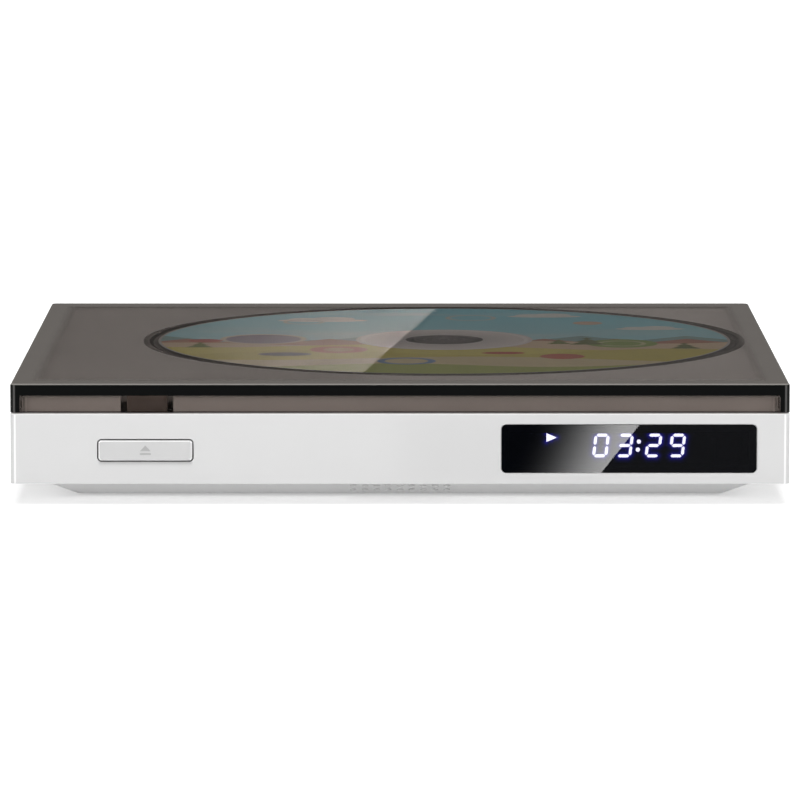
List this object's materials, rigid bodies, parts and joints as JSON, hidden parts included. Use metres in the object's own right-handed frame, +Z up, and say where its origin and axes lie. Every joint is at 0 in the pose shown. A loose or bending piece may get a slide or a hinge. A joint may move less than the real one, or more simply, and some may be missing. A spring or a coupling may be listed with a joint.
{
  "type": "dvd player",
  "caption": "Slim top-loading disc player with a smoke-tinted flip-up lid over a disc in a round well, a front open button, a dark clock window and rear sockets.",
  "frame": {"origin": "on the table under the middle of the player, level with the undersides of the feet", "axes": "+Z up, +X to the right seen from the front, +Y towards the rear sockets"},
  "size_m": [0.154, 0.1478, 0.024],
  "materials": {
    "white_shell": "moulded, satin gloss",
    "white_base": "moulded, satin gloss",
    "white_button": "moulded, satin gloss",
    "smoke_lid": "clear smoke tint, polished",
    "well_grey": "fine grain",
    "black_plastic": "fine grain",
    "window_black": "polished",
    "display_block": "moulded",
    "ir_epoxy": "polished",
    "disc_print": "printed, lacquered",
    "pad_rubber": "soft",
    "foot_rubber": "soft",
    "screw_steel": "plated",
    "rod_steel": "ground",
    "motor_steel": "plated",
    "spring_steel": "drawn",
    "circuit_board": "lacquered",
    "chip_black": "moulded",
    "capacitor_can": "drawn",
    "socket_metal": "plated",
    "socket_black": "moulded",
    "cable_white": "flat film",
    "chassis_grey": "fine grain",
    "nut_white": "moulded",
    "laser_housing": "cast",
    "magnet_nickel": "plated",
    "lens_glass": "coated",
    "actuator_black": "moulded"
  },
  "bodies": {
    "player": {"upper_shell": "white_shell", "bottom_cover": "white_base", "disc_well": "well_grey", "well_screws": "screw_steel", "case_screws": "screw_steel", "rubber_feet": "foot_rubber", "display_window": "window_black", "display_module": "display_block", "display_board": "circuit_board", "ir_receiver": "ir_epoxy", "flat_cable": "cable_white", "main_board": "circuit_board", "board_screws": "screw_steel", "board_chips": "chip_black", "capacitors": "capacitor_can", "hdmi_socket": "socket_metal", "usb_socket": "socket_metal", "av_jack": "socket_black", "power_socket": "socket_black", "lid_switch": "black_plastic", "traverse_chassis": "chassis_grey", "damper_bushes": "pad_rubber", "chassis_screws": "screw_steel", "spindle_motor": "motor_steel", "guide_rods": "rod_steel", "rod_clamps": "black_plastic", "sled_motor": "motor_steel", "hinge_pins": "rod_steel", "button_spring": "spring_steel"},
    "lid": {"lid": "smoke_lid", "lid_hook": "black_plastic"},
    "button": {"open_button": "white_button", "latch_slider": "black_plastic"},
    "spindle": {"spindle_hub": "black_plastic", "chuck_claws": "black_plastic", "turntable_pad": "pad_rubber", "motor_rotor": "motor_steel", "disc": "disc_print"},
    "sled": {"sled": "actuator_black", "laser_unit": "laser_housing", "sled_nut": "nut_white", "actuator_magnets": "magnet_nickel", "suspension_block": "actuator_black"},
    "lens": {"lens_holder": "actuator_black", "lens": "lens_glass"},
    "lead_screw": {"lead_screw": "rod_steel"},
    "switch_plunger": {"switch_plunger": "white_button"}
  },
  "joints": [
    {"name": "lid_hinge", "type": "hinge", "parent": "player", "child": "lid", "pos_m": [0, 0.07175, 0.02005], "axis": [-1, 0, 0], "range_deg": [0, 75]},
    {"name": "button_press", "type": "slide", "parent": "player", "child": "button", "axis": [0, 1, 0], "range_m": [0, 0.0012], "stiffness_N_per_m": 400, "deforming": ["button_spring"]},
    {"name": "spindle_spin", "type": "hinge", "parent": "player", "child": "spindle", "pos_m": [0.0093, 0.0053, 0.02], "axis": [0, 0, 1], "continuous": true},
    {"name": "sled_travel", "type": "slide", "parent": "player", "child": "sled", "axis": [0, -1, 0], "range_m": [0, 0.0345]},
    {"name": "lens_focus", "type": "slide", "parent": "sled", "child": "lens", "axis": [0, 0, 1], "range_m": [-0.0004, 0.0004], "stiffness_N_per_m": 60},
    {"name": "lead_screw_turn", "type": "hinge", "parent": "player", "child": "lead_screw", "pos_m": [0.0338, 0, 0.0132], "axis": [0, -1, 0], "range_deg": [-4150, 10]},
    {"name": "plunger_push", "type": "slide", "parent": "player", "child": "switch_plunger", "axis": [0, 0, 1], "range_m": [-0.001, 0], "stiffness_N_per_m": 200}
  ],
  "couplings": [
    {"joint": "lead_screw_turn", "follows": "sled_travel", "rad_per_m": -2094.4}
  ]
}
